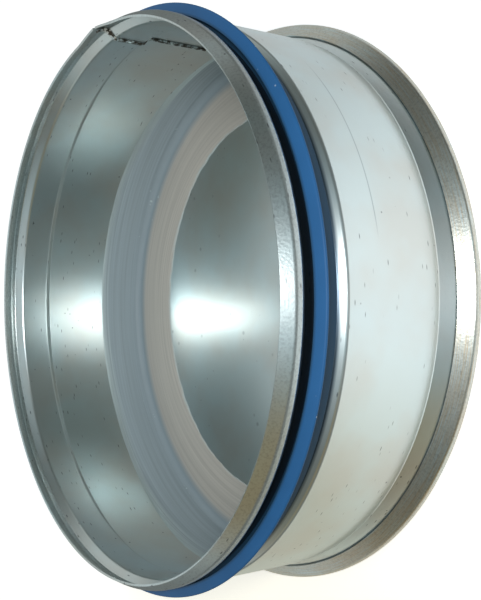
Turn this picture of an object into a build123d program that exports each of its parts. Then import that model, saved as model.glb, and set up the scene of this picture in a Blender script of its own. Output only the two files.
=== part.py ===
from build123d import *
import math
import os

# Male end cap for round ventilation duct: a rolled galvanised collar closed by a
# disc, with a rubber ring in a groove near the mouth. Millimetres.
# The axis is Z. The closed end's outer face lies on Z = 0 and the mouth opens
# towards +Z. The collar's lengthwise weld lies on the +X side.

# Sheet metal
SHEET = 0.6                  # galvanised sheet of the collar and the disc
WALL_DIAMETER = 159.0        # plain wall of the collar, outside
TOTAL_LENGTH = 56.5          # closed face to the cut edge of the mouth

# Lead-in at the mouth: a cone, then a short land up to the crest
LEAD_IN_LENGTH = 3.05
LEAD_IN_INSET = 1.5          # how far the cone draws in, radially
LAND_LENGTH = 1.8
LAND_INSET = 0.3
LEAD_IN_BEND = 2.0
CREST_BEND = 0.9

# Groove for the sealing ring
GROOVE_DEPTH = 2.0
GROOVE_FLOOR = 8.8           # corner to corner, along the axis
FRONT_SLOPE_LENGTH = 2.2
REAR_SLOPE_LENGTH = 1.7
GROOVE_BEND = 0.8
SHOULDER_BEND = 1.3

# Rear of the collar: the wall rolls in gently to a sharp crease, flares out again
# and ends in a flange inside the hem
CREASE_HEIGHT = 9.5
CREASE_DEPTH = 0.4
CREASE_RUN = 3.0             # axial length from the plain wall into the crease
FLARE = 0.75                 # radial growth from the crease to the flange
FLANGE_WIDTH = 2.8           # radial width of the flange
ROLL_IN_BEND = 30.0
CREASE_BEND = 0.8
FLANGE_BEND = 1.2
HEM_PLAY = 0.05              # between the flange and the hem folded over it

# End disc and its hem
HEM_OVERHANG = 4.9           # how far the fold stands out of the plain wall
HEM_LIP_GAP = 0.86           # radial gap between the collar and the hem's cut edge
HEM_ANGLE = 38.0             # between the disc and the hem folded over it
FOLD_RADIUS = 1.4            # outside of the fold

# Lengthwise weld of the collar and the mismatch where its ends meet at the mouth
WELD_WIDTH = 1.6
WELD_PROUD = 0.3             # how far the bead stands out of the wall, inside
NOTCH_WIDTH = 1.3
NOTCH_DEPTH = 0.8
NOTCH_CUT = 6.0              # radial length of the cut, right through sheet and bead

# Rubber sealing ring
RING_PLAY = 0.05             # between the ring's base and the groove's floor
RING_BASE_FRONT = 2.3        # clear floor in front of the base
RING_BASE_REAR = 0.8         # clear floor behind the base
RING_BASE_HEIGHT = 1.3
LIP_PROUD = 3.3              # how far the lip's crest stands above the plain wall
LIP_TOE_SETBACK = 2.95       # crest of the collar to the front edge of the lip
LIP_TOE_DROP = 0.25          # the lip's front edge lies this far under the wall
LIP_LEAN = 1.35              # axial distance from the front edge to the lip's crest
LIP_FOOT_RUN = 4.2           # axial distance from the front edge to the lip's rear foot
LIP_TOE_BEND = 0.2
LIP_CREST_BEND = 0.5
LIP_FOOT_BEND = 1.0
BASE_BEND = 0.25

# Sealing compound brushed round the inside corner
SEALANT_COAT = 0.45          # thickness on the wall and on the disc
SEALANT_WALL_HEIGHT = 17.0   # closed face to the coat's edge on the wall
SEALANT_DISC_WIDTH = 20.9    # wall to the coat's edge on the disc, on average
SEALANT_CORNER = 2.2         # fillet in the corner
SEALANT_FEATHER = 1.5        # length over which the coat thins out at its edges
SEALANT_SQUEEZE = 1.6        # how far the compound is pressed in under the flange
SEALANT_OVAL = 1.8           # the brushed edge is a little oval
SEALANT_DRIFT = 0.5          # and a little off centre
SEALANT_RIPPLE = 0.3         # with small waves left by the brush
SEALANT_RIPPLES = 11
EDGE_POINTS = 72

# Derived sizes
wall_radius = WALL_DIAMETER / 2
mouth_radius = wall_radius - LAND_INSET - LEAD_IN_INSET
crest_height = TOTAL_LENGTH - LEAD_IN_LENGTH - LAND_LENGTH
floor_radius = wall_radius - GROOVE_DEPTH
floor_front = crest_height - FRONT_SLOPE_LENGTH
floor_rear = floor_front - GROOVE_FLOOR
shoulder_height = floor_rear - REAR_SLOPE_LENGTH
crease_radius = wall_radius - CREASE_DEPTH
flare_radius = crease_radius + FLARE
sealant_edge_radius = wall_radius - SHEET - SEALANT_DISC_WIDTH

# The hem's outer face is a line at HEM_ANGLE. Its corner with the closed face
# follows from the hem's overhang and the radius of the fold.
half_angle = math.radians(HEM_ANGLE / 2)
hem_slope = math.tan(math.radians(HEM_ANGLE))
hem_corner = wall_radius + HEM_OVERHANG + FOLD_RADIUS * (1 / math.tan(half_angle) - 1)
hem_lip_radius = flare_radius + HEM_LIP_GAP
hem_height = (hem_corner - hem_lip_radius) * hem_slope

# The flange lies along the hem's inner face
flange_corner = hem_corner - (SHEET + HEM_PLAY) / math.sin(math.radians(HEM_ANGLE))
flare_height = (flange_corner - flare_radius) * hem_slope
flange_tip_radius = flare_radius + FLANGE_WIDTH
flange_tip_height = flare_height - FLANGE_WIDTH * hem_slope


def turned(section, degrees=360.0):
    """The solid swept by a section, drawn as radius and height, round the axis."""
    return revolve(Plane.XZ * section, axis=Axis.Z, revolution_arc=degrees)


def sheet_section(corners, bends, side):
    """A band of sheet on one side of the line through the corners."""
    outer_face = FilletPolyline(*corners, radius=bends)
    return make_face(offset(outer_face, SHEET, side=side))


def collar_section():
    """The collar's wall from the mouth down to the tip of its rear flange."""
    corners = [
        (mouth_radius, TOTAL_LENGTH),
        (wall_radius - LAND_INSET, crest_height + LAND_LENGTH),
        (wall_radius, crest_height),
        (floor_radius, floor_front),
        (floor_radius, floor_rear),
        (wall_radius, shoulder_height),
        (wall_radius, CREASE_HEIGHT + CREASE_RUN),
        (crease_radius, CREASE_HEIGHT),
        (flare_radius, flare_height),
        (flange_tip_radius, flange_tip_height),
    ]
    bends = [
        LEAD_IN_BEND,
        CREST_BEND,
        GROOVE_BEND,
        GROOVE_BEND,
        SHOULDER_BEND,
        ROLL_IN_BEND,
        CREASE_BEND,
        FLANGE_BEND,
    ]
    return sheet_section(corners, bends, Side.RIGHT)


def make_collar():
    """Strip rolled to a tube, with a weld bead inside and a notch at the mouth."""
    section = collar_section()
    wall = turned(section)
    bead_angle = math.degrees(WELD_WIDTH / wall_radius)
    bead = turned(Pos(-WELD_PROUD, 0) * section, bead_angle)
    bead = bead.rotate(Axis.Z, -bead_angle / 2)
    notch = Box(NOTCH_CUT, NOTCH_WIDTH, 2 * NOTCH_DEPTH)
    return wall + bead - Pos(mouth_radius, 0, TOTAL_LENGTH) * notch


def make_end_disc():
    """Flat disc whose edge is folded forward and inward over the flange."""
    corners = [(0, 0), (hem_corner, 0), (hem_lip_radius, hem_height)]
    return turned(sheet_section(corners, [FOLD_RADIUS], Side.LEFT))


def make_sealing_ring():
    """Rubber base in the groove, with a lip that leans towards the closed end."""
    base_radius = floor_radius + RING_PLAY
    base_top = floor_radius + RING_BASE_HEIGHT
    base_front = floor_front - RING_BASE_FRONT
    base_rear = floor_rear + RING_BASE_REAR
    toe_height = crest_height - LIP_TOE_SETBACK
    corners = [
        (base_radius, base_front),
        (base_top, base_front),
        (wall_radius - LIP_TOE_DROP, toe_height),
        (wall_radius + LIP_PROUD, toe_height - LIP_LEAN),
        (base_top, toe_height - LIP_FOOT_RUN),
        (base_top, base_rear),
        (base_radius, base_rear),
    ]
    bends = [
        0,
        BASE_BEND,
        LIP_TOE_BEND,
        LIP_CREST_BEND,
        LIP_FOOT_BEND,
        BASE_BEND,
        0,
    ]
    outline = FilletPolyline(*corners, radius=bends, close=True)
    return turned(make_face(outline))


def sealant_edge(turn):
    """Radius of the coat's brushed edge on the disc, at an angle from +X."""
    oval = SEALANT_OVAL * math.cos(2 * turn)
    drift = SEALANT_DRIFT * math.sin(turn)
    ripple = SEALANT_RIPPLE * math.sin(SEALANT_RIPPLES * turn)
    return sealant_edge_radius + oval - drift + ripple


def make_sealant(collar):
    """Compound on the wall, in the corner, under the flange and on the disc."""
    disc_face = SHEET
    coat_radius = wall_radius - SHEET - SEALANT_COAT
    inner_radius = sealant_edge_radius - SEALANT_OVAL - SEALANT_DRIFT - SEALANT_FEATHER
    # The outer side follows the middle of the collar's sheet, and the collar is
    # cut away from it below.
    squeeze_radius = flare_radius + SEALANT_SQUEEZE
    flange_middle = flare_height - SEALANT_SQUEEZE * hem_slope
    flange_middle -= SHEET / 2 / math.cos(math.radians(HEM_ANGLE))
    corners = [
        (inner_radius, disc_face),
        (inner_radius, disc_face + SEALANT_COAT),
        (coat_radius, disc_face + SEALANT_COAT),
        (coat_radius, SEALANT_WALL_HEIGHT - SEALANT_FEATHER),
        (wall_radius - SHEET, SEALANT_WALL_HEIGHT),
        (wall_radius - SHEET / 2, SEALANT_WALL_HEIGHT),
        (crease_radius - SHEET / 2, CREASE_HEIGHT),
        (flare_radius - SHEET / 2, flare_height),
        (squeeze_radius, flange_middle),
        (squeeze_radius, disc_face),
    ]
    bends = [0, 0, SEALANT_CORNER] + [0] * (len(corners) - 3)
    filling = turned(make_face(FilletPolyline(*corners, radius=bends, close=True)))
    steps = [2 * math.pi * step / EDGE_POINTS for step in range(EDGE_POINTS)]
    edge = [(sealant_edge(t) * math.cos(t), sealant_edge(t) * math.sin(t)) for t in steps]
    window = extrude(make_face(Spline(*edge, periodic=True)), SEALANT_WALL_HEIGHT)
    return filling - window - collar


os.makedirs("parts", exist_ok=True)

collar = make_collar()
end_disc = make_end_disc()
sealing_ring = make_sealing_ring()
sealant = make_sealant(collar)

export_step(collar, "parts/collar.step")
export_step(end_disc, "parts/end_disc.step")
export_step(sealing_ring, "parts/sealing_ring.step")
export_step(sealant, "parts/sealant.step")
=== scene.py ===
"""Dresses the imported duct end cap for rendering: spun sheet metal, rubber seal,
sealing compound and weld, with the stage they are seen on. Lengths are in metres."""

import math

import bmesh
import bpy
from mathutils import Matrix, Vector, noise


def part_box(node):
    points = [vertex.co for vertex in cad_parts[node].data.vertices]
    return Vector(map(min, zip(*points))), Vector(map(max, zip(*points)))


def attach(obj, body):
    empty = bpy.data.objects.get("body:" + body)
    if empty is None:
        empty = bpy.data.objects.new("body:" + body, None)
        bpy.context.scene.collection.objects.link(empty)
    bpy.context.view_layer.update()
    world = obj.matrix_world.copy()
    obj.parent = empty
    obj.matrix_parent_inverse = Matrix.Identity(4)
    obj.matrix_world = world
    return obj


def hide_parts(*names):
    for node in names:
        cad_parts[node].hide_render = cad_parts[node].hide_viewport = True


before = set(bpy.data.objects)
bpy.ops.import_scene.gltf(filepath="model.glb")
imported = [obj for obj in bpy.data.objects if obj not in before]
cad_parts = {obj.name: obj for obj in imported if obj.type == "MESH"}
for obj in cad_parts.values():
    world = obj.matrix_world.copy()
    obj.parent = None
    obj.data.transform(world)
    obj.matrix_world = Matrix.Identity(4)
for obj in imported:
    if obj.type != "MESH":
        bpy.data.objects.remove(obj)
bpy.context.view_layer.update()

bl_info = {
    "name": "Duct end cap",
    "version": (1, 0, 0),
    "blender": (4, 5, 0),
    "location": "View3D > Sidebar > Duct end cap",
    "description": "Models and finishes a male end cap for round ventilation duct",
    "category": "Add Mesh",
}

MM = 0.001

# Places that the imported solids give
TOTAL_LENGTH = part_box("collar")[1].z
FLANGE_TIP_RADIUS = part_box("collar")[1].x
FOLD_OUTER_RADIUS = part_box("end_disc")[1].x
HEM_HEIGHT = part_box("end_disc")[1].z
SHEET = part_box("sealant")[0].z
SEALANT_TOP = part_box("sealant")[1].z
SEALANT_SQUEEZE_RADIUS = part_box("sealant")[1].x
RING_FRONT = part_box("sealing_ring")[1].z
RING_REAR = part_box("sealing_ring")[0].z

# Bends in the collar's outer face, mouth first: lead-in, crest, both corners of the
# groove's floor, shoulder, roll-in, crease and flange
COLLAR_BENDS = [bend * MM for bend in (2.0, 0.9, 0.8, 0.8, 1.3, 30.0, 0.8, 1.2)]
NOTCH_CUT = 6 * MM             # radial length of the cut, right through the sheet
ROUND_STEPS = 288              # faces round the sheet metal and the ring
WELD_STEPS = 8                 # faces across the weld bead
ON_PLAIN_WALL = 25 * MM        # a height on the collar's plain wall
ON_DISC = 20 * MM              # a radius on the disc, inside the compound
ON_COAT = 70 * MM              # a radius on the disc's coat of compound

# Flare between the crease and the hem, as the light on it shows it
FLARE_TOP = 9.3 * MM
FLARE_FOOT = 4.9 * MM
FLARE_TILT = math.radians(17.0)

# Section of the sealing ring, from the front edge of its lip
RING_PLAY = 0.05 * MM          # between the ring's base and the groove's floor
RING_BASE_HEIGHT = 1.3 * MM
RING_BASE_FRONT = 1.55 * MM    # front edge of the lip to the front of the base
LIP_PROUD = 3.3 * MM           # how far the lip's crest stands above the plain wall
LIP_TOE_SETBACK = 2.95 * MM    # crest of the collar to the front edge
LIP_TOE_DROP = 0.25 * MM       # the front edge lies this far under the wall
LIP_LEAN = 1.35 * MM           # front edge to the lip's crest, along the axis
LIP_FOOT_RUN = 4.2 * MM        # front edge to the lip's rear foot
RING_BENDS = [bend * MM for bend in (0, 0.25, 0.2, 0.5, 1.0, 0.25, 0)]

# Coat of sealing compound
SEALANT_CORNER = 2.2 * MM      # fillet between wall and disc
SEALANT_STEPS = 360            # faces round the coat, enough for its ragged edge
COAT_LIP_RUN = 0.4 * MM        # the coat's blunt edge on the disc
COAT_LIP_DROP = 0.15 * MM
BRUSH_REACH = 8 * MM           # part of the disc's coat that follows its edge
CLIMB_REACH = 6 * MM           # part of the wall's coat that follows its edge
WALL_THIN_RUN = 5 * MM         # length over which the coat looks thin on the wall
DISC_THIN_RUN = 1.5 * MM       # and on the disc

# Uneven edges of the coat, in millimetres
SEALANT_OVAL = 1.8
SEALANT_DRIFT = 0.5
SEALANT_RAGGED = 0.35          # waves some 6 mm long
SEALANT_FRAYED = 0.2           # waves some 2 mm long
SEALANT_CLIMB = 4.6            # rise of the wall's edge opposite the weld
SEALANT_WAVER = 0.15

# The camera's own axes in the model's frame. The cap stands on its side in the
# picture, so the picture's upward way is the model's +X.
CAMERA_PLACE = Vector((-18.93, -220.28, 172.25)) * MM
PICTURE_RIGHT = Vector((-0.0476, -0.5530, -0.8318))
PICTURE_UP = Vector((0.9987, -0.0436, -0.0283))
LENS = 52.8
SHIFT = (0.0675, 0.083)

# The strip lamp's place from the camera
LAMP_RIGHT = -17 * MM
LAMP_UP = 28 * MM
LAMP_BACK = 70 * MM

FLOOR_RADIUS = 3.0
FLOOR_GAP = 0.05 * MM          # keeps the floor clear of the closed face
PAPER_RADIUS = 125 * MM        # white paper round the cap, as the metal sees it


def colour(hex_code):
    """Linear red, green, blue and alpha of an sRGB hex code."""
    channels = [int(hex_code[i:i + 2], 16) / 255 for i in (1, 3, 5)]
    return (*[c / 12.92 if c <= 0.04045 else ((c + 0.055) / 1.055) ** 2.4 for c in channels], 1.0)


def length(name, description, default_mm):
    """A length property whose default is given in millimetres."""
    return bpy.props.FloatProperty(
        name=name, description=description, default=default_mm * MM, unit="LENGTH", precision=5
    )


def tint(name, description, hex_code):
    """A colour property whose default is given as a hex code."""
    return bpy.props.FloatVectorProperty(
        name=name, description=description, default=colour(hex_code),
        subtype="COLOR", size=4, min=0.0, max=1.0,
    )


class EndCapMetal(bpy.types.PropertyGroup):
    """Sizes and colours of the collar, the disc and the weld."""

    wall_radius: length("Wall radius", "Outside of the collar's plain wall", 79.5)
    lead_in: length("Lead-in length", "Cone at the mouth, along the axis", 3.05)
    lead_in_inset: length("Lead-in inset", "How far the cone draws in", 1.75)
    land: length("Land length", "Short land between the cone and the crest", 1.8)
    land_inset: length("Land inset", "How far the land draws in", 0.05)
    groove_depth: length("Groove depth", "Depth of the seal's groove", 2.0)
    groove_floor: length("Groove floor", "Width of the groove's floor", 8.8)
    front_slope: length("Front slope", "Axial length of the groove's front side", 2.2)
    rear_slope: length("Rear slope", "Axial length of the groove's rear side", 1.7)
    crease_height: length("Crease height", "Closed face to the crease", 9.5)
    crease_depth: length("Crease depth", "Radial depth of the crease", 0.4)
    crease_run: length("Crease run", "Plain wall to the bottom of the crease", 3.0)
    flare: length("Flare", "Radial growth below the crease", 1.15)
    hem_play: length("Hem play", "Between the flange and the hem", 0.05)
    fold_radius: length("Fold radius", "Outside of the hem's fold", 1.4)
    hem_angle: bpy.props.FloatProperty(
        name="Hem angle", description="Between the disc and the hem folded over it",
        default=math.radians(38.0), unit="ROTATION",
    )
    mouth_peak: length("Mouth's peak", "How far the mouth stands out at the weld", 1.3)
    peak_reach: length("Peak's reach", "From the weld to where the mouth is round again", 9.5)
    weld_width: length("Weld width", "Width of the lengthwise weld bead", 1.25)
    weld_proud: length("Weld height", "How far the bead stands out of the wall", 0.3)
    notch_width: length("Notch width", "Notch in the mouth at the weld", 1.3)
    notch_depth: length("Notch depth", "Notch in the mouth at the weld", 0.8)
    zinc: tint("Zinc", "Bright zinc coating", "#CDD9DA")
    dull_zinc: tint("Dull zinc", "Slightly weathered zinc", "#CBCFCC")
    speck: tint("Speck", "Dark specks, scuffs and dull grains", "#5E6468")
    burnt_zinc: tint("Burnt zinc", "Zinc discoloured by the weld", "#4E4A43")
    zinc_oxide: tint("Zinc oxide", "White specks on the weld", "#F0F0EA")
    hem_stain: tint("Hem stain", "Brownish streaks that the folding left on the hem", "#C2A983")


class EndCapSeal(bpy.types.PropertyGroup):
    """Sizes and colours of the rubber ring and the sealing compound."""

    coat: length("Coat", "Thickness of the sealing compound", 0.45)
    coat_width: length("Coat width", "Wall to the coat's edge on the disc", 20.9)
    feather: length("Feather", "Length over which the coat thins out", 1.5)
    rubber: tint("Rubber", "Blue ethylene-propylene rubber", "#236096")
    dust: tint("Dust", "Pale dust on the rubber", "#B9C6D2")
    # Painted shade: a dark colour painted deep in the seal's groove, low on the ring and in the gap
    # behind the hem, where shade falls; the same colour also draws a real scratch round the wall
    dark_shade_and_scratch: tint("Shade and scratch", "Dark film in the groove", "#1B3B52")
    compound: tint("Compound", "Dried duct sealing compound", "#CBC5BC")
    # Partly the thinner coat, partly painted light: the wall's cooler tint stands in for the cooler
    # light falling on that side
    cool_lit_wall_compound: tint("Thin compound", "The same, brushed thin on the wall", "#ABB9C0")


class EndCapStage(bpy.types.PropertyGroup):
    """Light and surroundings."""

    room: tint("Room", "Dim room behind the camera", "#A9BCC2")
    room_sides: tint("Room's sides", "Room beside the camera", "#4F534E")
    bench_light: tint("Bench light", "Light off a wooden bench on one side", "#94835C")
    doorway: tint("Doorway", "Bright strip of the room under the camera", "#EBEFF0")
    ceiling: tint("Ceiling", "Pale ceiling", "#DDE3E4")
    surround: tint("Surround", "White that the camera sees round the object", "#FFFFFF")
    backdrop: tint("Backdrop", "Pale sheet behind the object, as the metal sees it", "#D3D9D8")
    paper: tint("Paper", "White paper under the object", "#EEEEEE")
    # Painted light: a warm tint on one side of the paper, standing in for warm light falling there
    warm_lit_paper: tint("Warm paper", "The paper on the side away from the weld", "#F2E8D2")
    bench: tint("Bench", "Beyond the paper", "#5A5D59")
    lamp_power: bpy.props.FloatProperty(
        name="Lamp", description="Power of the strip lamp by the camera", default=0.5, unit="POWER"
    )
    lamp_width: length("Lamp width", "Narrow side of the strip lamp", 28.0)
    lamp_length: length("Lamp length", "Long side of the strip lamp", 90.0)


def add(tree, kind, inputs=None, **settings):
    """Adds a node, sets its fields, then sets or links its inputs by name or number.
    A node that is given as an input stands for its first open output."""
    node = tree.nodes.new(kind)
    for field, value in settings.items():
        setattr(node, field, value)
    for key, value in (inputs or {}).items():
        if isinstance(value, bpy.types.Node):
            value = next(socket for socket in value.outputs if socket.enabled)
        if isinstance(value, bpy.types.NodeSocket):
            tree.links.new(value, node.inputs[key])
        else:
            node.inputs[key].default_value = value
    return node


def new_material(name):
    """A material and its empty node tree."""
    material = bpy.data.materials.new(name)
    material.use_nodes = True
    material.node_tree.nodes.clear()
    return material, material.node_tree


def overlap(tree, *zones):
    """How far a point lies in all of some zones at once. Each zone is 1 inside and
    0 outside, and a plain number among them is a strength."""
    share = zones[0]
    for zone in zones[1:]:
        share = add(tree, "ShaderNodeMath", {0: share, 1: zone}, operation="MULTIPLY")
    return share


def band(tree, value, growth, decline):
    """1 inside a band of a value. It grows from the first to the second place of
    growth, and dies away from the second to the first place of decline."""
    sides = [
        add(tree, "ShaderNodeMapRange", {"Value": value, "From Min": zero, "From Max": one})
        for zero, one in (growth, decline)
    ]
    return overlap(tree, *sides)


def radius_and_height(tree):
    """The distance from the axis and the height of the shaded point."""
    place = add(tree, "ShaderNodeTexCoord").outputs["Object"]
    flat = add(tree, "ShaderNodeVectorMath", {0: place, 1: (1.0, 1.0, 0.0)}, operation="MULTIPLY")
    radius = add(tree, "ShaderNodeVectorMath", {0: flat}, operation="LENGTH")
    split = add(tree, "ShaderNodeSeparateXYZ", {"Vector": place})
    return radius, split.outputs["Z"]


def dots(tree, place, spacing, size, patch_size, seldom):
    """Scattered dots with soft edges, about spacing apart and size across, only
    where a broad noise rises over seldom."""
    cells = add(tree, "ShaderNodeTexVoronoi", {"Vector": place, "Scale": 1 / spacing})
    patch = add(
        tree, "ShaderNodeTexNoise", {"Vector": place, "Scale": 1 / patch_size, "Detail": 2.0}
    )
    edge = size / spacing / 2
    dot = add(
        tree, "ShaderNodeMapRange", {"Value": cells, "From Min": edge * 1.4, "From Max": edge * 0.6}
    )
    present = add(
        tree, "ShaderNodeMapRange", {"Value": patch, "From Min": seldom, "From Max": seldom + 0.05}
    )
    return overlap(tree, dot, present)


def galvanised_sheet(name, lines_scale, seed, marked, worked, overlay, rolled=None):
    """Hot-dip galvanised strip, temper rolled: a bright, slightly cloudy zinc
    surface with fine rolling lines, a few dark specks and soft broad highlights.
    Its thin oxide scatters a little light, so its shaded parts aren't black.
    marked is the strength of the specks and scuffs, worked tells how much of the forming's crazed,
    sparkling zinc a point has, overlay tells the share and colour laid over the zinc's colour
    (painted shade and a real scratch on the collar, real stains on the disc's hem), and rolled adds
    what the rollers pressed into it."""
    metal = bpy.context.scene.end_cap_metal
    material, tree = new_material(name)
    place = add(tree, "ShaderNodeTexCoord").outputs["Object"]
    moved = add(tree, "ShaderNodeMapping", {"Vector": place, "Location": (seed, seed, seed)})
    radius, height = radius_and_height(tree)
    crazed = worked(tree, radius, height)
    # Zinc cloud, patches about 20 mm across
    cloud = add(tree, "ShaderNodeTexNoise", {"Vector": moved, "Scale": 48.0, "Detail": 3.0})
    cloudy = add(tree, "ShaderNodeMapRange", {"Value": cloud, "From Min": 0.4, "From Max": 0.65})
    tone = add(
        tree, "ShaderNodeMix", {0: cloudy, 6: metal.zinc, 7: metal.dull_zinc}, data_type="RGBA"
    )
    specks = dots(
        tree, moved, spacing=3.4 * MM, size=0.5 * MM, patch_size=22 * MM, seldom=0.54
    )
    # Short dark scuffs, longer round the cap than along it
    squeezed = add(tree, "ShaderNodeMapping", {"Vector": moved, "Scale": (1.0, 1.0, 5.0)})
    scuffs = dots(
        tree, squeezed, spacing=6 * MM, size=1.2 * MM, patch_size=40 * MM, seldom=0.46
    )
    marks = add(tree, "ShaderNodeMath", {0: specks, 1: scuffs}, operation="MAXIMUM")
    base = add(
        tree, "ShaderNodeMix",
        {0: overlap(tree, marks, marked), 6: tone, 7: metal.speck}, data_type="RGBA",
    )
    # Overlay: painted shade in the groove and behind the hem and a real scratch on the collar, real
    # stains on the disc's hem
    share, overlay_colour = overlay(tree, radius, height, moved)
    base = add(tree, "ShaderNodeMix", {0: share, 6: base, 7: overlay_colour}, data_type="RGBA")
    # Crazed zinc is speckled: dull grains among the bright ones, about 0.6 mm
    # across, as fine as the picture can show
    grain = add(tree, "ShaderNodeTexNoise", {"Vector": moved, "Scale": 1700.0, "Detail": 2.0})
    dull = add(tree, "ShaderNodeMapRange", {"Value": grain, "From Min": 0.46, "From Max": 0.7})
    base = add(
        tree, "ShaderNodeMix",
        {0: overlap(tree, crazed, dull, 0.22), 6: base, 7: metal.speck}, data_type="RGBA",
    )
    rough = add(tree, "ShaderNodeMath", {0: cloud, 1: 0.05, 2: 0.27}, operation="MULTIPLY_ADD")
    # Rolling lines, under 0.2 mm apart
    along = add(tree, "ShaderNodeMapping", {"Vector": moved, "Scale": lines_scale})
    lines = add(tree, "ShaderNodeTexNoise", {"Vector": along, "Scale": 5.0, "Detail": 2.0})
    fine = add(
        tree, "ShaderNodeBump", {"Height": lines, "Strength": 0.3, "Distance": 0.006 * MM}
    )
    sparkling = add(tree, "ShaderNodeMath", {0: grain, 1: crazed}, operation="MULTIPLY")
    sparkle = add(
        tree, "ShaderNodeBump",
        {"Height": sparkling, "Strength": 0.5, "Distance": 0.05 * MM, "Normal": fine},
    )
    # Shallow waviness of the sheet, 15 mm from wave to wave
    waves = add(tree, "ShaderNodeTexNoise", {"Vector": moved, "Scale": 65.0, "Detail": 1.0})
    surface = add(
        tree, "ShaderNodeBump",
        {"Height": waves, "Strength": 0.5, "Distance": 0.035 * MM, "Normal": sparkle},
    )
    if rolled:
        surface = rolled(tree, height, moved, surface)
    shader = add(
        tree, "ShaderNodeBsdfPrincipled",
        {"Base Color": base, "Metallic": 0.96, "Roughness": rough, "Normal": surface},
    )
    add(tree, "ShaderNodeOutputMaterial", {"Surface": shader})
    return material


def lead_in_zone(tree, radius, height):
    """1 above the crest, on the land and the cone at the mouth, and 0 below it."""
    below_crest, above_crest = TOTAL_LENGTH - 5.5 * MM, TOTAL_LENGTH - 4.5 * MM
    return add(
        tree, "ShaderNodeMapRange",
        {"Value": height, "From Min": below_crest, "From Max": above_crest},
    )


def hem_zone(tree, radius, height):
    """1 on the folded hem, 0 on the flat of the disc."""
    flat_radius, hem_radius = 79.5 * MM, 80.5 * MM
    return add(
        tree, "ShaderNodeMapRange",
        {"Value": radius, "From Min": flat_radius, "From Max": hem_radius},
    )


def rolled_flare(tree, height, place, normal):
    """The flare as the edge roller left it: it opens out more steeply than a
    plain cone between the crease and the hem, with fine streaks down it."""
    # Streaks under 0.2 mm wide and some 3 mm long
    stretched = add(tree, "ShaderNodeMapping", {"Vector": place, "Scale": (1400.0, 1400.0, 60.0)})
    streaks = add(tree, "ShaderNodeTexNoise", {"Vector": stretched, "Scale": 5.0, "Detail": 2.0})
    below_crease = add(
        tree, "ShaderNodeMapRange",
        {"Value": height, "From Min": FLARE_TOP + 0.3 * MM, "From Max": FLARE_TOP - 0.3 * MM},
    )
    flare_only = add(
        tree, "ShaderNodeMath", {0: streaks, 1: below_crease}, operation="MULTIPLY"
    )
    streaked = add(
        tree, "ShaderNodeBump",
        {"Height": flare_only, "Strength": 0.6, "Distance": 0.03 * MM, "Normal": normal},
    )
    opening = add(
        tree, "ShaderNodeMapRange", {"Value": height, "From Min": FLARE_TOP, "From Max": FLARE_FOOT}
    )
    return add(
        tree, "ShaderNodeBump",
        {
            "Height": opening, "Strength": 1.0,
            "Distance": (FLARE_TOP - FLARE_FOOT) * math.tan(FLARE_TILT), "Normal": streaked,
        },
    )


def groove_shade_and_scratch(tree, radius, height, place):
    """Painted shade deep in the seal's groove and in the gap behind the hem, where shade falls, and
    a real dark hairline scratch round a part of the wall: their share and colour."""
    # The outside is where the surface faces away from the axis
    normal = add(tree, "ShaderNodeNewGeometry").outputs["Normal"]
    rise = add(tree, "ShaderNodeSeparateXYZ", {"Vector": normal}).outputs["Z"]
    away = add(tree, "ShaderNodeVectorMath", {0: normal, 1: place}, operation="DOT_PRODUCT")
    along = add(tree, "ShaderNodeMath", {0: rise, 1: height}, operation="MULTIPLY")
    off_axis = add(tree, "ShaderNodeMath", {0: away, 1: along}, operation="SUBTRACT")
    outside = add(
        tree, "ShaderNodeMapRange", {"Value": off_axis, "From Min": 0.0, "From Max": 1.0 * MM}
    )
    # Painted shade on the groove's floor, between its slopes, on the outside
    deep = add(
        tree, "ShaderNodeMapRange",
        {"Value": radius, "From Min": 78.5 * MM, "From Max": 77.9 * MM},
    )
    between_slopes = band(tree, height, (36.0 * MM, 37.0 * MM), (51.8 * MM, 51.0 * MM))
    groove_shade = overlap(tree, deep, outside, between_slopes, 0.85)
    # Painted shade in the gap behind the hem
    behind_hem = add(
        tree, "ShaderNodeMapRange", {"Value": height, "From Min": 4.9 * MM, "From Max": 4.5 * MM}
    )
    gap_shade = overlap(tree, behind_hem, 0.85)
    line, core, edge = 28.6 * MM, 0.08 * MM, 0.22 * MM
    on_line = band(tree, height, (line - edge, line - core), (line + edge, line + core))
    sideways = add(tree, "ShaderNodeSeparateXYZ", {"Vector": place}).outputs["X"]
    part_way = band(tree, sideways, (8 * MM, 14 * MM), (56 * MM, 48 * MM))
    hairline = overlap(tree, on_line, outside, part_way, 0.35)
    hem_gap_shade_and_scratch = add(tree, "ShaderNodeMath", {0: gap_shade, 1: hairline}, operation="MAXIMUM")
    share = add(tree, "ShaderNodeMath", {0: groove_shade, 1: hem_gap_shade_and_scratch}, operation="MAXIMUM")
    return share, bpy.context.scene.end_cap_seal.dark_shade_and_scratch


def hem_streaks(tree, radius, height, place):
    """Fine brownish streaks that run round the hem: their share and colour."""
    # Under 0.2 mm wide across the hem and some 8 mm long round it
    across = add(tree, "ShaderNodeMath", {0: radius, 1: height}, operation="SUBTRACT")
    fine = add(tree, "ShaderNodeMath", {0: across, 1: 1400.0}, operation="MULTIPLY")
    lift = add(tree, "ShaderNodeCombineXYZ", {2: fine})
    flat = add(tree, "ShaderNodeVectorMath", {0: place, 1: (1.0, 1.0, 0.0)}, operation="MULTIPLY")
    stretched = add(tree, "ShaderNodeMapping", {"Vector": flat, "Scale": (25.0, 25.0, 0.0)})
    streak_place = add(tree, "ShaderNodeVectorMath", {0: stretched, 1: lift}, operation="ADD")
    streaks = add(
        tree, "ShaderNodeTexNoise", {"Vector": streak_place, "Scale": 5.0, "Detail": 3.0}
    )
    stained = add(
        tree, "ShaderNodeMapRange", {"Value": streaks, "From Min": 0.35, "From Max": 0.65}
    )
    share = overlap(tree, stained, hem_zone(tree, radius, height), 0.7)
    return share, bpy.context.scene.end_cap_metal.hem_stain


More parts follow.
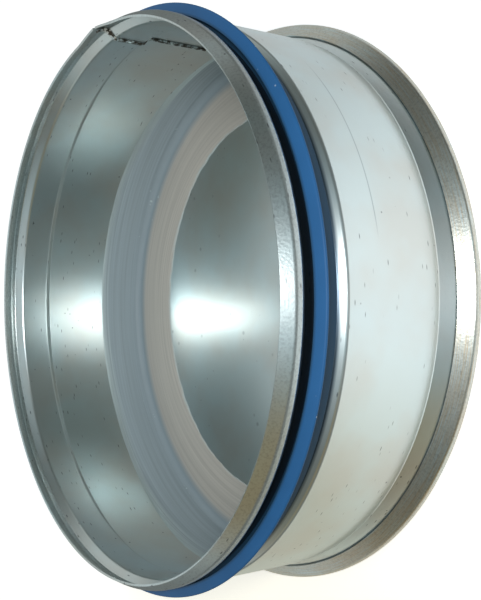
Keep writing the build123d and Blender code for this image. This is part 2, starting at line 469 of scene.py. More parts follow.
def weld_metal():
    """Seam weld through the zinc: dull, brownish burnt zinc on a rippled bead,
    with white specks of zinc oxide."""
    metal = bpy.context.scene.end_cap_metal
    material, tree = new_material("burnt_zinc_weld")
    place = add(tree, "ShaderNodeTexCoord").outputs["Object"]
    # Burnt patches about 1 mm across
    cloud = add(tree, "ShaderNodeTexNoise", {"Vector": place, "Scale": 900.0, "Detail": 3.0})
    spared = add(tree, "ShaderNodeMapRange", {"Value": cloud, "From Min": 0.46, "From Max": 0.62})
    tone = add(
        tree, "ShaderNodeMix", {0: spared, 6: metal.burnt_zinc, 7: metal.zinc}, data_type="RGBA"
    )
    specks = dots(tree, place, spacing=1.1 * MM, size=0.5 * MM, patch_size=4 * MM, seldom=0.5)
    # More oxide where the bead crosses the crest and the land
    height = radius_and_height(tree)[1]
    on_ledge = band(
        tree, height, (TOTAL_LENGTH - 6.0 * MM, TOTAL_LENGTH - 5.0 * MM),
        (TOTAL_LENGTH - 2.0 * MM, TOTAL_LENGTH - 2.6 * MM),
    )
    patchy = add(tree, "ShaderNodeMapRange", {"Value": cloud, "From Min": 0.44, "From Max": 0.5})
    white = add(
        tree, "ShaderNodeMath", {0: specks, 1: overlap(tree, on_ledge, patchy)}, operation="MAXIMUM"
    )
    base = add(tree, "ShaderNodeMix", {0: white, 6: tone, 7: metal.zinc_oxide}, data_type="RGBA")
    bump = add(tree, "ShaderNodeBump", {"Height": cloud, "Strength": 0.6, "Distance": 0.1 * MM})
    shader = add(
        tree, "ShaderNodeBsdfPrincipled",
        {"Base Color": base, "Metallic": 0.8, "Roughness": 0.4, "Normal": bump},
    )
    add(tree, "ShaderNodeOutputMaterial", {"Surface": shader})
    return material


def moulded_rubber():
    """EPDM rubber, moulded: an even satin blue with a little pale dust, and painted shade low in
    the groove, where the ring sits in shadow under the wall."""
    seal = bpy.context.scene.end_cap_seal
    material, tree = new_material("moulded_epdm_rubber")
    place = add(tree, "ShaderNodeTexCoord").outputs["Object"]
    radius = radius_and_height(tree)[0]
    # Fading in patches about 11 mm across
    cloud = add(tree, "ShaderNodeTexNoise", {"Vector": place, "Scale": 90.0, "Detail": 3.0})
    faded = add(tree, "ShaderNodeMapRange", {"Value": cloud, "From Min": 0.3, "From Max": 0.75})
    darker = (*[0.86 * channel for channel in seal.rubber[:3]], 1.0)
    tone = add(tree, "ShaderNodeMix", {0: faded, 6: seal.rubber, 7: darker}, data_type="RGBA")
    dust = dots(tree, place, spacing=3.3 * MM, size=0.4 * MM, patch_size=17 * MM, seldom=0.58)
    dusty = add(tree, "ShaderNodeMix", {0: dust, 6: tone, 7: seal.dust}, data_type="RGBA")
    # Painted shade: below the wall's radius the ring darkens to the painted shade colour, where
    # shade falls in the groove
    low = add(
        tree, "ShaderNodeMapRange",
        {"Value": radius, "From Min": 80.0 * MM, "From Max": 79.2 * MM},
    )
    base = add(tree, "ShaderNodeMix", {0: low, 6: dusty, 7: seal.dark_shade_and_scratch}, data_type="RGBA")
    # Grain of the mould, 0.4 mm
    grain = add(tree, "ShaderNodeTexNoise", {"Vector": place, "Scale": 2500.0, "Detail": 2.0})
    bump = add(tree, "ShaderNodeBump", {"Height": grain, "Strength": 0.3, "Distance": 0.02 * MM})
    shader = add(
        tree, "ShaderNodeBsdfPrincipled",
        {
            "Base Color": base, "Roughness": 0.55, "IOR": 1.5, "Specular IOR Level": 0.35,
            "Normal": bump,
        },
    )
    add(tree, "ShaderNodeOutputMaterial", {"Surface": shader})
    return material


def brushed_compound():
    """Water-based duct sealing compound, brushed on and dried: matt grey with brush streaks that
    follow the round of the cap. On the wall it is thinner and has a cooler colour, partly painted
    light for the cooler light that falls on that side, and where it thins out the zinc shows
    through."""
    seal = bpy.context.scene.end_cap_seal
    metal = bpy.context.scene.end_cap_metal
    material, tree = new_material("brushed_duct_sealant")
    place = add(tree, "ShaderNodeTexCoord").outputs["Object"]
    split = add(tree, "ShaderNodeSeparateXYZ", {"Vector": place})
    x, y = split.outputs["X"], split.outputs["Y"]
    radius, height = radius_and_height(tree)
    # Streaks 0.8 mm wide across the brush and some 70 mm long with it
    across = add(tree, "ShaderNodeMath", {0: radius, 1: height}, operation="SUBTRACT")
    streak_place = add(tree, "ShaderNodeCombineXYZ", {0: x, 1: y, 2: across})
    stretched = add(
        tree, "ShaderNodeMapping", {"Vector": streak_place, "Scale": (14.0, 14.0, 1200.0)}
    )
    streaks = add(
        tree, "ShaderNodeTexNoise", {"Vector": stretched, "Scale": 1.0, "Detail": 3.0}
    )
    # On the wall the compound takes a cooler colour: partly the thinner coat, partly painted light
    # for the cooler light on the wall's side
    on_wall = add(
        tree, "ShaderNodeMapRange",
        {"Value": radius, "From Min": 73.2 * MM, "From Max": 76.2 * MM},
    )
    body = add(
        tree, "ShaderNodeMix", {0: on_wall, 6: seal.compound, 7: seal.cool_lit_wall_compound},
        data_type="RGBA",
    )
    dark = add(tree, "ShaderNodeHueSaturation", {"Color": body, "Value": 0.8})
    # Near the corner between wall and disc the compound stays at its darker tone
    outward = add(
        tree, "ShaderNodeMapRange",
        {"Value": radius, "From Min": 73.5 * MM, "From Max": 75.5 * MM},
    )
    downward = add(
        tree, "ShaderNodeMapRange", {"Value": height, "From Min": 4 * MM, "From Max": 2 * MM}
    )
    beside_corner = add(
        tree, "ShaderNodeMath", {0: 1.0, 1: overlap(tree, outward, downward)}, operation="SUBTRACT"
    )
    bright = add(tree, "ShaderNodeMapRange", {"Value": streaks, "From Min": 0.3, "From Max": 0.7})
    tone = add(
        tree, "ShaderNodeMix",
        {0: overlap(tree, bright, beside_corner), 6: dark, 7: body}, data_type="RGBA",
    )
    # The brush's last touch: thin streaks through which the zinc shows
    thin = add(tree, "ShaderNodeAttribute", attribute_name="thin").outputs["Fac"]
    patchy = add(tree, "ShaderNodeMath", {0: streaks, 1: 1.2, 2: thin}, operation="MULTIPLY_ADD")
    bare = add(tree, "ShaderNodeMapRange", {"Value": patchy, "From Min": 1.0, "From Max": 1.6})
    pinholes = overlap(
        tree,
        dots(tree, place, spacing=1.6 * MM, size=0.45 * MM, patch_size=30 * MM, seldom=0.6),
        band(tree, height, (1.3 * MM, 1.8 * MM), (5.0 * MM, 3.5 * MM)),
    )
    # A run of bare, glinting spots in the corner
    far_side = add(
        tree, "ShaderNodeMapRange", {"Value": y, "From Min": 0.0, "From Max": 5 * MM}
    )
    off_disc = add(
        tree, "ShaderNodeMapRange",
        {"Value": radius, "From Min": 74.0 * MM, "From Max": 74.8 * MM},
    )
    off_wall = add(
        tree, "ShaderNodeMapRange", {"Value": height, "From Min": 3.6 * MM, "From Max": 3.0 * MM}
    )
    glints = overlap(
        tree,
        dots(tree, place, spacing=2.2 * MM, size=0.9 * MM, patch_size=30 * MM, seldom=0.1),
        band(tree, x, (37 * MM, 39 * MM), (50 * MM, 48 * MM)), far_side, off_disc, off_wall,
    )
    spots = add(tree, "ShaderNodeMath", {0: pinholes, 1: glints}, operation="MAXIMUM")
    open_share = add(tree, "ShaderNodeMath", {0: bare, 1: spots}, operation="MAXIMUM")
    base = add(tree, "ShaderNodeMix", {0: open_share, 6: tone, 7: metal.zinc}, data_type="RGBA")
    # Gloss in patches about 17 mm across
    cloud = add(tree, "ShaderNodeTexNoise", {"Vector": place, "Scale": 60.0, "Detail": 4.0})
    rough = add(tree, "ShaderNodeMath", {0: cloud, 1: 0.2, 2: 0.42}, operation="MULTIPLY_ADD")
    bump = add(tree, "ShaderNodeBump", {"Height": streaks, "Strength": 0.6, "Distance": 0.12 * MM})
    shader = add(
        tree, "ShaderNodeBsdfPrincipled",
        {
            "Base Color": base, "Metallic": overlap(tree, open_share, 0.9), "Roughness": rough,
            "IOR": 1.45, "Normal": bump,
        },
    )
    add(tree, "ShaderNodeOutputMaterial", {"Surface": shader})
    return material


def select_where(piece, test):
    """In edit mode, selects exactly the vertices that pass the test."""
    bpy.ops.mesh.select_mode(type="VERT")
    bpy.ops.mesh.select_all(action="DESELECT")
    shape = bmesh.from_edit_mesh(piece.data)
    for vertex in shape.verts:
        vertex.select = test(vertex.co)
    shape.select_flush(True)
    bmesh.update_edit_mesh(piece.data)


def share_sharp_bends(corners, bends):
    """Splits each bend of more than a right angle into two that share its turn,
    because a bevelled corner is a true arc only up to there."""
    points = [Vector((radius, 0.0, height)) for radius, height in corners]
    shared = [points[0]]
    radii = []
    for before, corner, after, radius in zip(points, points[1:], points[2:], bends):
        turn = (corner - before).angle(after - corner)
        if radius > 0 and turn > math.pi / 2 + 0.01:
            back = radius * (math.tan(turn / 2) - math.tan(turn / 4))
            shared.append(corner + back * (before - corner).normalized())
            shared.append(corner + back * (after - corner).normalized())
            radii += [radius, radius]
        else:
            shared.append(corner)
            radii.append(radius)
    return shared + [points[-1]], radii


def draw_section(name, corners, bends, bend_steps=5):
    """A wire section in the XZ plane. One vertex is extruded from corner to
    corner, then each corner is rounded to its bend's radius."""
    points, radii = share_sharp_bends(corners, bends)
    bpy.ops.object.select_all(action="DESELECT")
    bpy.ops.mesh.primitive_plane_add(size=MM)
    piece = bpy.context.object
    piece.name = name
    piece.data.name = name
    bpy.ops.object.mode_set(mode="EDIT")
    bpy.ops.mesh.merge(type="CENTER")
    bpy.ops.transform.translate(value=points[0])
    for start, end in zip(points, points[1:]):
        bpy.ops.mesh.extrude_vertices_move(TRANSFORM_OT_translate={"value": end - start})
    for before, corner, after, radius in zip(points, points[1:], points[2:], radii):
        if radius <= 0:
            continue
        turn = (corner - before).angle(after - corner)
        select_where(piece, lambda place: (place - corner).length < 0.01 * MM)
        bpy.ops.mesh.bevel(
            offset=radius * math.tan(turn / 2), segments=bend_steps, profile=0.5,
            affect="VERTICES", clamp_overlap=False,
        )
    return piece


def halve_long_edges(piece, longest):
    """In edit mode, halves the edges until none is longer than longest."""
    bpy.ops.mesh.select_mode(type="EDGE")
    while True:
        bpy.ops.mesh.select_all(action="DESELECT")
        shape = bmesh.from_edit_mesh(piece.data)
        long_edges = [edge for edge in shape.edges if edge.calc_length() > longest]
        if not long_edges:
            bpy.ops.mesh.select_mode(type="VERT")
            return
        for edge in long_edges:
            edge.select_set(True)
        bmesh.update_edit_mesh(piece.data)
        bpy.ops.mesh.subdivide(number_cuts=1)


def spin_section(piece, steps, outward, angle=2 * math.pi):
    """Turns the section into a shell round the axis. outward tells a point on
    the shell and the way that its faces look there."""
    bpy.ops.mesh.select_all(action="SELECT")
    bpy.ops.mesh.spin(steps=steps, angle=angle, center=(0, 0, 0), axis=(0, 0, 1))
    bpy.ops.mesh.select_all(action="SELECT")
    bpy.ops.mesh.remove_doubles(threshold=0.001 * MM)
    bpy.ops.mesh.normals_make_consistent(inside=False)
    place, way = outward
    shape = bmesh.from_edit_mesh(piece.data)
    nearest = min(shape.faces, key=lambda face: (face.calc_center_median() - place).length)
    if nearest.normal.dot(way) < 0:
        bpy.ops.mesh.flip_normals()
    bpy.ops.object.mode_set(mode="OBJECT")


def give_thickness(piece, thickness):
    """Thickens the shell on the side away from its faces' normals."""
    bpy.context.view_layer.objects.active = piece
    wall = piece.modifiers.new("sheet", "SOLIDIFY")
    wall.thickness = thickness
    wall.offset = -1.0
    wall.use_even_offset = True
    bpy.ops.object.modifier_apply(modifier=wall.name)


def smooth_faces(piece):
    """Smooth faces whose normals follow the larger face beside each bend."""
    bpy.ops.object.select_all(action="DESELECT")
    piece.select_set(True)
    bpy.context.view_layer.objects.active = piece
    bpy.ops.object.shade_smooth_by_angle(angle=math.radians(40))
    weighted = piece.modifiers.new("weighted", "WEIGHTED_NORMAL")
    weighted.keep_sharp = True
    bpy.ops.object.modifier_apply(modifier=weighted.name)


def hand_over(piece, material, node=None):
    """Gives the piece its material in its one slot and its body, and hides the imported part that
    it stands for.
    """
    piece.data.materials.clear()
    piece.data.materials.append(material)
    if node:
        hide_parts(node)
    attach(piece, "root")


def hem_corner(metal):
    """Radius at which the line of the hem's outer face meets the closed face."""
    return FOLD_OUTER_RADIUS + metal.fold_radius * (1 / math.tan(metal.hem_angle / 2) - 1)


def crest_height(metal):
    """Height of the collar's rolled crest, behind the cone and the land."""
    return TOTAL_LENGTH - metal.lead_in - metal.land


def collar_corners(metal):
    """Corners of the collar's outer face, mouth first."""
    wall = metal.wall_radius
    crest = crest_height(metal)
    floor_front = crest - metal.front_slope
    floor_rear = floor_front - metal.groove_floor
    shoulder = floor_rear - metal.rear_slope
    crease = wall - metal.crease_depth
    flare = crease + metal.flare
    # The flange runs along the hem's inner face
    flange_corner = hem_corner(metal) - (SHEET + metal.hem_play) / math.sin(metal.hem_angle)
    slope = math.tan(metal.hem_angle)
    flare_height = (flange_corner - flare) * slope
    tip = FLANGE_TIP_RADIUS
    return [
        (wall - metal.land_inset - metal.lead_in_inset, TOTAL_LENGTH),
        (wall - metal.land_inset, crest + metal.land),
        (wall, crest),
        (wall - metal.groove_depth, floor_front),
        (wall - metal.groove_depth, floor_rear),
        (wall, shoulder),
        (wall, metal.crease_height + metal.crease_run),
        (crease, metal.crease_height),
        (flare, flare_height),
        (tip, flare_height - (tip - flare) * slope),
    ]


def peak_mouth(piece, metal):
    """Draws the lead-in out to a low peak at the weld, where the strip's ends
    stayed straight when it was rolled."""
    crest = crest_height(metal)
    for vertex in piece.data.vertices:
        radius = math.hypot(vertex.co.x, vertex.co.y)
        turn = math.atan2(vertex.co.y, vertex.co.x)
        share = (vertex.co.z - crest) / (TOTAL_LENGTH - crest)
        near = 1 - abs(turn) * radius / metal.peak_reach
        if share > 0 and near > 0:
            grown = 1 + metal.mouth_peak * share * near / radius
            vertex.co.x *= grown
            vertex.co.y *= grown


def cut_notch(piece, metal):
    """Cuts the small notch in the mouth where the ends of the strip meet."""
    bpy.ops.object.select_all(action="DESELECT")
    mouth_radius = metal.wall_radius - metal.land_inset - metal.lead_in_inset
    bpy.ops.mesh.primitive_cube_add(size=1.0, location=(mouth_radius, 0, TOTAL_LENGTH))
    cutter = bpy.context.object
    cutter.dimensions = (NOTCH_CUT, metal.notch_width, 2 * metal.notch_depth)
    bpy.ops.object.transform_apply(location=True, rotation=True, scale=True)
    cut = piece.modifiers.new("notch", "BOOLEAN")
    cut.operation = "DIFFERENCE"
    cut.solver = "EXACT"
    cut.object = cutter
    bpy.context.view_layer.objects.active = piece
    bpy.ops.object.modifier_apply(modifier=cut.name)
    bpy.data.objects.remove(cutter)


class ENDCAP_OT_collar(bpy.types.Operator):
    """Spin the collar from its rolled section"""

    bl_idname = "endcap.collar"
    bl_label = "Collar"

    def execute(self, context):
        metal = context.scene.end_cap_metal
        piece = draw_section("collar_sheet", collar_corners(metal), COLLAR_BENDS)
        on_wall = Vector((metal.wall_radius, 0, ON_PLAIN_WALL))
        spin_section(piece, ROUND_STEPS, (on_wall, Vector((1, 0, 0))))
        peak_mouth(piece, metal)
        give_thickness(piece, SHEET)
        cut_notch(piece, metal)
        smooth_faces(piece)
        material = galvanised_sheet(
            "galvanised_strip_collar", lines_scale=(10.0, 10.0, 1400.0), seed=0.0, marked=0.9,
            worked=lead_in_zone, overlay=groove_shade_and_scratch, rolled=rolled_flare,
        )
        hand_over(piece, material, "collar")
        return {"FINISHED"}


def offset_corners(corners, bends, distance):
    """The corners and bends of a line that runs beside another, nearer the axis.
    The line runs towards the closed end."""
    sharpest = 0.05 * MM
    points = [Vector(corner) for corner in corners]
    ways = [(end - start).normalized() for start, end in zip(points, points[1:])]
    sides = [Vector((way.y, -way.x)) * distance for way in ways]
    moved = [points[0] + sides[0]]
    radii = []
    for i, corner in enumerate(points[1:-1]):
        half = (sides[i] + sides[i + 1]) / 2
        moved.append(corner + half * (distance ** 2 / half.length_squared))
        inward = ways[i].cross(ways[i + 1]) < 0
        radii.append(max(sharpest, bends[i] + (-distance if inward else distance)))
    return moved + [points[-1] + sides[-1]], radii


class ENDCAP_OT_weld(bpy.types.Operator):
    """Run the rippled weld bead along the inside of the collar"""

    bl_idname = "endcap.weld"
    bl_label = "Weld"

    def execute(self, context):
        metal = context.scene.end_cap_metal
        inner, radii = offset_corners(collar_corners(metal), COLLAR_BENDS, SHEET)
        inner[0].y -= metal.notch_depth
        # The bead ends in the crease, where the compound covers it
        piece = draw_section("weld_bead", inner[:8], radii[:6])
        halve_long_edges(piece, 0.5 * MM)
        on_wall = Vector((metal.wall_radius - SHEET, 0, ON_PLAIN_WALL))
        width = metal.weld_width / metal.wall_radius
        spin_section(piece, WELD_STEPS, (on_wall, Vector((-1, 0, 0))), angle=width)
        self.shape_bead(piece, metal, width)
        peak_mouth(piece, metal)
        give_thickness(piece, SHEET / 2)
        smooth_faces(piece)
        hand_over(piece, weld_metal())
        return {"FINISHED"}

    def shape_bead(self, piece, metal, width):
        """Centres the bead on +X, crowns it, and gives it the ripple and the
        ragged sides of a hand-run weld."""
        sunk = 0.04 * MM
        burr_mm = 4.0
        for vertex in piece.data.vertices:
            radius = math.hypot(vertex.co.x, vertex.co.y)
            across = 2 * abs(math.atan2(vertex.co.y, vertex.co.x)) / width - 1
            along = Vector((0.0, 0.0, vertex.co.z / MM))
            uneven = 1.0 + 0.5 * noise.noise(along * 0.9) + 0.35 * noise.noise(along * 2.3)
            # A burr under the mouth, where the bead crosses the ledge of the crest
            burr = math.exp(-((TOTAL_LENGTH - vertex.co.z) / MM - burr_mm) ** 2 / 2.0)
            uneven += burr * (0.9 + 0.8 * noise.noise(along * 3.1))
            crown = math.sqrt(max(0.0, 1 - across ** 2))
            radius += sunk - (metal.weld_proud * min(1.0 + burr, uneven) + sunk) * crown
            wander = 0.25 * noise.noise(along * 0.6 + Vector((across, 0, 0)))
            turn = (across * (0.8 + 0.2 * uneven) + wander) * width / 2
            vertex.co.x = radius * math.cos(turn)
            vertex.co.y = radius * math.sin(turn)


class ENDCAP_OT_end_disc(bpy.types.Operator):
    """Spin the end disc with its folded hem"""

    bl_idname = "endcap.end_disc"
    bl_label = "End disc"

    def execute(self, context):
        metal = context.scene.end_cap_metal
        corner = hem_corner(metal)
        lip = corner - HEM_HEIGHT / math.tan(metal.hem_angle)
        corners = [(0, 0), (corner, 0), (lip, HEM_HEIGHT)]
        piece = draw_section("disc_sheet", corners, [metal.fold_radius], bend_steps=10)
        spin_section(piece, ROUND_STEPS, (Vector((ON_DISC, 0, 0)), Vector((0, 0, -1))))
        give_thickness(piece, SHEET)
        smooth_faces(piece)
        material = galvanised_sheet(
            "galvanised_sheet_disc", lines_scale=(1400.0, 12.0, 12.0), seed=0.3, marked=0.35,
            worked=hem_zone, overlay=hem_streaks,
        )
        hand_over(piece, material, "end_disc")
        return {"FINISHED"}


class ENDCAP_OT_sealing_ring(bpy.types.Operator):
    """Spin the lipped rubber ring"""

    bl_idname = "endcap.sealing_ring"
    bl_label = "Sealing ring"

    def execute(self, context):
        metal = context.scene.end_cap_metal
        floor = metal.wall_radius - metal.groove_depth + RING_PLAY
        top = metal.wall_radius - metal.groove_depth + RING_BASE_HEIGHT
        toe = crest_height(metal) - LIP_TOE_SETBACK
        # Starts and ends halfway along the base, so that every corner is rounded
        middle = (RING_FRONT + RING_REAR) / 2
        corners = [
            (floor, middle),
            (floor, toe - RING_BASE_FRONT),
            (top, toe - RING_BASE_FRONT),
            (metal.wall_radius - LIP_TOE_DROP, toe),
            (metal.wall_radius + LIP_PROUD, toe - LIP_LEAN),
            (top, toe - LIP_FOOT_RUN),
            (top, RING_REAR),
            (floor, RING_REAR),
            (floor, middle),
        ]
        piece = draw_section("seal_lip", corners, RING_BENDS)
        on_base = Vector((floor, 0, middle + 0.5 * MM))
        spin_section(piece, ROUND_STEPS, (on_base, Vector((-1, 0, 0))))
        smooth_faces(piece)
        hand_over(piece, moulded_rubber(), "sealing_ring")
        return {"FINISHED"}


class ENDCAP_OT_sealant(bpy.types.Operator):
    """Spin the brushed coat in the inside corner, then make its edges uneven"""

    bl_idname = "endcap.sealant"
    bl_label = "Sealing compound"

    def execute(self, context):
        metal = context.scene.end_cap_metal
        seal = context.scene.end_cap_seal
        wall = metal.wall_radius - SHEET
        edge = wall - seal.coat_width
        coat_radius = wall - seal.coat
        coat_height = SHEET + seal.coat
        crease = wall - metal.crease_depth
        flare = crease + metal.flare
        # Behind the wall the compound follows the collar's flare and flange
        flare_height = collar_corners(metal)[8][1] - SHEET
        squeeze = SEALANT_SQUEEZE_RADIUS
        squeeze_drop = (squeeze - flare) * math.tan(metal.hem_angle)
        corners = [
            (edge, SHEET),
            (edge + COAT_LIP_RUN, coat_height - COAT_LIP_DROP),
            (edge + seal.feather, coat_height),
            (edge + BRUSH_REACH, coat_height),
            (coat_radius, coat_height),
            (coat_radius, SEALANT_TOP - WALL_THIN_RUN),
            (coat_radius, SEALANT_TOP - seal.feather),
            (wall, SEALANT_TOP),
            (wall, metal.crease_height + metal.crease_run),
            (crease, metal.crease_height),
            (flare, flare_height),
            (squeeze, flare_height - squeeze_drop),
            (squeeze, SHEET),
            (edge, SHEET),
        ]
        bends = [0.0] * (len(corners) - 2)
        bends[corners.index((coat_radius, coat_height)) - 1] = SEALANT_CORNER
        piece = draw_section("sealant_coat", corners, bends, bend_steps=8)
        on_coat = Vector((ON_COAT, 0, coat_height))
        spin_section(piece, SEALANT_STEPS, (on_coat, Vector((0, 0, 1))))
        shape_brushed_edges(piece, edge)
        smooth_faces(piece)
        hand_over(piece, brushed_compound(), "sealant")
        return {"FINISHED"}


def shape_brushed_edges(piece, edge):
    """Moves the coat's edges as the brush left them: the disc's edge is oval and
    ragged, and the wall's edge climbs on the side opposite the weld. Also marks
    how thin the coat looks at each point."""
    thin = piece.data.attributes.new("thin", "FLOAT", "POINT")
    for vertex in piece.data.vertices:
        radius = math.hypot(vertex.co.x, vertex.co.y)
        turn = math.atan2(vertex.co.y, vertex.co.x)
        near_weld = max(0.0, math.cos(turn)) ** 8
        wall_fade = 1 - (SEALANT_TOP - vertex.co.z) / WALL_THIN_RUN
        disc_fade = 1 - (radius - edge) / DISC_THIN_RUN
        thin.data[vertex.index].value = max(
            0.0, min(1.0, wall_fade + 0.6 * near_weld), 0.8 * min(1.0, disc_fade)
        )
        spot = Vector((math.cos(turn), math.sin(turn), 0.0))
        if radius < edge + BRUSH_REACH:
            share = 1 - max(0.0, radius - edge) / BRUSH_REACH
            oval = SEALANT_OVAL * math.cos(2 * turn) - SEALANT_DRIFT * math.sin(turn)
            ragged = SEALANT_RAGGED * noise.noise(spot * 14)
            ragged += SEALANT_FRAYED * noise.noise(spot * 45)
            reach = (oval + ragged) * MM * share
            vertex.co.x += reach * math.cos(turn)
            vertex.co.y += reach * math.sin(turn)
        if vertex.co.z > SEALANT_TOP - CLIMB_REACH:
            share = 1 - (SEALANT_TOP - vertex.co.z) / CLIMB_REACH
            climb = -SEALANT_CLIMB * math.cos(turn) ** 5
            climb += SEALANT_WAVER * noise.noise(spot * 20)
            vertex.co.z += climb * MM * min(1.0, share * 1.3)


class ENDCAP_OT_stage(bpy.types.Operator):
    """Add the floor, the surroundings, the lamp and the camera"""

    bl_idname = "endcap.stage"
    bl_label = "Stage"

    def execute(self, context):
        stage = context.scene.end_cap_stage
        white_floor(stage)
        surroundings(stage)
        camera_and_lamp(stage)
        context.scene.view_settings.view_transform = "Standard"
        return {"FINISHED"}


def white_floor(stage):
    """A round pale floor under the closed end. The camera sees it as white, a little less near the
    object, where it takes the object's shadow. The metal sees white paper round the cap, with a
    painted pool of light on the camera's side and painted warm light on the side away from the
    weld, and a grey bench beyond."""
    bpy.ops.object.select_all(action="DESELECT")
    bpy.ops.mesh.primitive_circle_add(
        vertices=64, radius=FLOOR_RADIUS, fill_type="NGON", location=(0, 0, -FLOOR_GAP)
    )
    floor = bpy.context.object
    floor.name = "floor"
    material, tree = new_material("white_paper_floor")
    path = add(tree, "ShaderNodeLightPath")
    place = add(tree, "ShaderNodeTexCoord").outputs["Object"]
    near = add(
        tree, "ShaderNodeMapRange",
        {
            "Value": radius_and_height(tree)[0], "From Min": PAPER_RADIUS + 40 * MM,
            "From Max": PAPER_RADIUS,
        },
    )
    # Painted pool of light on the camera's side: a glow that only mirrored rays see, standing in
    # for the lamp's light on the paper
    pool_place = add(
        tree, "ShaderNodeMapping",
        {"Vector": place, "Location": (0.1, 1.35, 0.0), "Scale": (15.0, 11.0, 1.0)},
    )
    pool_reach = add(tree, "ShaderNodeVectorMath", {0: pool_place}, operation="LENGTH")
    pool = add(tree, "ShaderNodeMapRange", {"Value": pool_reach, "From Min": 1.5, "From Max": 0.4})
    mirrored = add(
        tree, "ShaderNodeMath",
        {0: path.outputs["Is Glossy Ray"], 1: path.outputs["Is Transmission Ray"]},
        operation="MAXIMUM",
    )
    mirror_glow = add(
        tree, "ShaderNodeMath", {0: pool, 1: 0.4, 2: 0.09}, operation="MULTIPLY_ADD"
    )
    seen_glow = add(tree, "ShaderNodeMath", {0: near, 1: -0.5, 2: 1.0}, operation="MULTIPLY_ADD")
    camera_glow = add(
        tree, "ShaderNodeMath", {0: path.outputs["Is Camera Ray"], 1: seen_glow},
        operation="MULTIPLY",
    )
    glow = add(
        tree, "ShaderNodeMath", {0: mirrored, 1: mirror_glow, 2: camera_glow},
        operation="MULTIPLY_ADD",
    )
    # Painted warm light: the paper is tinted warm on the side away from the weld
    sideways = add(tree, "ShaderNodeSeparateXYZ", {"Vector": place}).outputs["X"]
    warm_lit_side = add(
        tree, "ShaderNodeMapRange",
        {"Value": sideways, "From Min": -20 * MM, "From Max": -90 * MM},
    )
    paper = add(
        tree, "ShaderNodeMix", {0: warm_lit_side, 6: stage.paper, 7: stage.warm_lit_paper},
        data_type="RGBA",
    )
    base = add(tree, "ShaderNodeMix", {0: near, 6: stage.bench, 7: paper}, data_type="RGBA")
    shader = add(
        tree, "ShaderNodeBsdfPrincipled",
        {
            "Base Color": base, "Roughness": 1.0, "Emission Color": stage.surround,
            "Emission Strength": glow,
        },
    )
    add(tree, "ShaderNodeOutputMaterial", {"Surface": shader})
    floor.data.materials.append(material)


def surroundings(stage):
    """The world as the metal sees it: a pale backdrop behind the object, and on
    the camera's side a dim room with darker sides, light off a bench on one of
    them, a bright doorway low in the middle and a pale ceiling. The camera
    itself always sees white."""
    world = bpy.data.worlds.new("studio")
    bpy.context.scene.world = world
    world.use_nodes = True
    tree = world.node_tree
    tree.nodes.clear()
    way = add(tree, "ShaderNodeTexCoord").outputs["Generated"]
    rise = add(tree, "ShaderNodeSeparateXYZ", {"Vector": way}).outputs["Z"]
    facing = add(
        tree, "ShaderNodeVectorMath", {0: way, 1: CAMERA_PLACE.normalized()},
        operation="DOT_PRODUCT",
    )
    sideways = add(tree, "ShaderNodeVectorMath", {0: way, 1: PICTURE_UP}, operation="DOT_PRODUCT")
    off_axis = add(tree, "ShaderNodeMath", {0: sideways}, operation="ABSOLUTE")
    # The sides are a little lighter above the horizon
    horizon = add(tree, "ShaderNodeMapRange", {"Value": rise, "From Min": 0.5, "From Max": 0.2})
    low = add(tree, "ShaderNodeMath", {0: horizon, 1: 0.1, 2: 0.9}, operation="MULTIPLY_ADD")
    beside = add(tree, "ShaderNodeMapRange", {"Value": off_axis, "From Min": 0.2, "From Max": 0.65})
    below = add(
        tree, "ShaderNodeMapRange", {"Value": sideways, "From Min": -0.3, "From Max": -0.6}
    )
    bench_high = add(tree, "ShaderNodeMapRange", {"Value": rise, "From Min": 0.6, "From Max": 0.3})
    sides = add(
        tree, "ShaderNodeMix",
        {0: overlap(tree, below, bench_high), 6: stage.room_sides, 7: stage.bench_light},
        data_type="RGBA",
    )
    walls = add(
        tree, "ShaderNodeMix",
        {0: overlap(tree, beside, low), 6: stage.room, 7: sides}, data_type="RGBA",
    )
    door_wide = add(
        tree, "ShaderNodeMapRange", {"Value": off_axis, "From Min": 0.24, "From Max": 0.06}
    )
    door_high = add(tree, "ShaderNodeMapRange", {"Value": rise, "From Min": 0.5, "From Max": 0.3})
    walls = add(
        tree, "ShaderNodeMix",
        {0: overlap(tree, door_wide, door_high), 6: walls, 7: stage.doorway}, data_type="RGBA",
    )
    # The ceiling is darker towards the picture's upper side
    upper_side = add(
        tree, "ShaderNodeMapRange", {"Value": sideways, "From Min": 0.1, "From Max": 0.5}
    )
    lit = add(tree, "ShaderNodeMath", {0: upper_side, 1: -0.62, 2: 1.0}, operation="MULTIPLY_ADD")
    overhead = add(tree, "ShaderNodeMapRange", {"Value": rise, "From Min": 0.7, "From Max": 0.95})
    room = add(
        tree, "ShaderNodeMix",
        {0: overlap(tree, overhead, lit), 6: walls, 7: stage.ceiling}, data_type="RGBA",
    )
    front = add(
        tree, "ShaderNodeMapRange", {"Value": facing, "From Min": -0.3, "From Max": 0.25},
        interpolation_type="SMOOTHSTEP",
    )
    light = add(tree, "ShaderNodeMix", {0: front, 6: stage.backdrop, 7: room}, data_type="RGBA")
    camera_ray = add(tree, "ShaderNodeLightPath").outputs["Is Camera Ray"]
    seen = add(
        tree, "ShaderNodeMix", {0: camera_ray, 6: light, 7: stage.surround}, data_type="RGBA"
    )
    background = add(tree, "ShaderNodeBackground", {"Color": seen, "Strength": 1.0})
    add(tree, "ShaderNodeOutputWorld", {"Surface": background})


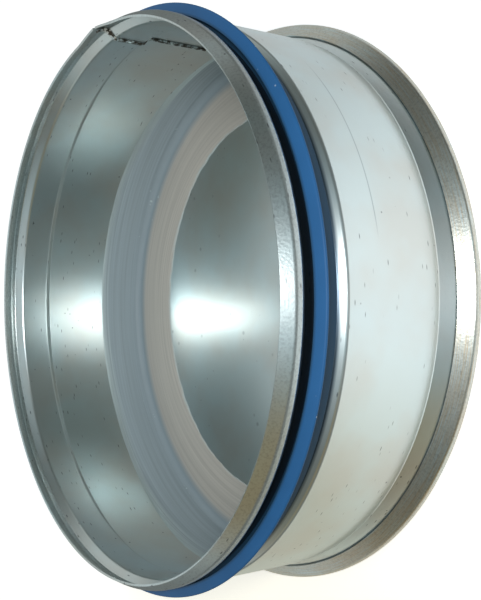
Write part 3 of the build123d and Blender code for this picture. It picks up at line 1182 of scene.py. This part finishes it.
def camera_and_lamp(stage):
    """The camera of the photograph and, just behind it, a strip lamp that is
    long in the plane of the cap's axis and narrow across it."""
    bpy.ops.object.select_all(action="DESELECT")
    bpy.ops.object.camera_add()
    camera = bpy.context.object
    right, up = PICTURE_RIGHT.normalized(), PICTURE_UP.normalized()
    back = right.cross(up).normalized()
    up = back.cross(right)
    turn = Matrix((right, up, back)).transposed()
    camera.matrix_world = Matrix.Translation(CAMERA_PLACE) @ turn.to_4x4()
    camera.data.lens = LENS
    camera.data.shift_x, camera.data.shift_y = SHIFT
    camera.data.clip_start = 0.01
    bpy.context.scene.camera = camera
    bpy.ops.object.light_add(type="AREA")
    lamp = bpy.context.object
    lamp.name = "strip_lamp"
    lamp.visible_camera = False
    lamp.data.shape = "RECTANGLE"
    lamp.data.size = stage.lamp_length
    lamp.data.size_y = stage.lamp_width
    lamp.data.energy = stage.lamp_power
    place = CAMERA_PLACE + LAMP_RIGHT * right + LAMP_UP * up + LAMP_BACK * back
    lamp.matrix_world = Matrix.Translation(place) @ turn.to_4x4()


class ENDCAP_PT_panel(bpy.types.Panel):
    """Lists the end cap's pieces"""

    bl_idname = "ENDCAP_PT_panel"
    bl_label = "Duct end cap"
    bl_space_type = "VIEW_3D"
    bl_region_type = "UI"
    bl_category = "Duct end cap"

    def draw(self, context):
        for operator in OPERATORS:
            self.layout.operator(operator.bl_idname)
        for group in GROUPS:
            settings = getattr(context.scene, group)
            for field in settings.__annotations__:
                self.layout.prop(settings, field)


OPERATORS = (
    ENDCAP_OT_stage,
    ENDCAP_OT_collar,
    ENDCAP_OT_weld,
    ENDCAP_OT_end_disc,
    ENDCAP_OT_sealing_ring,
    ENDCAP_OT_sealant,
)
GROUPS = {
    "end_cap_metal": EndCapMetal,
    "end_cap_seal": EndCapSeal,
    "end_cap_stage": EndCapStage,
}


def register():
    for group in GROUPS.values():
        bpy.utils.register_class(group)
    for field, group in GROUPS.items():
        setattr(bpy.types.Scene, field, bpy.props.PointerProperty(type=group))
    for operator in OPERATORS:
        bpy.utils.register_class(operator)
    bpy.utils.register_class(ENDCAP_PT_panel)


def unregister():
    bpy.utils.unregister_class(ENDCAP_PT_panel)
    for operator in reversed(OPERATORS):
        bpy.utils.unregister_class(operator)
    for field in GROUPS:
        delattr(bpy.types.Scene, field)
    for group in reversed(list(GROUPS.values())):
        bpy.utils.unregister_class(group)


def main():
    register()
    bpy.ops.endcap.stage()
    bpy.ops.endcap.collar()
    bpy.ops.endcap.weld()
    bpy.ops.endcap.end_disc()
    bpy.ops.endcap.sealing_ring()
    bpy.ops.endcap.sealant()


if __name__ == "__main__":
    main()
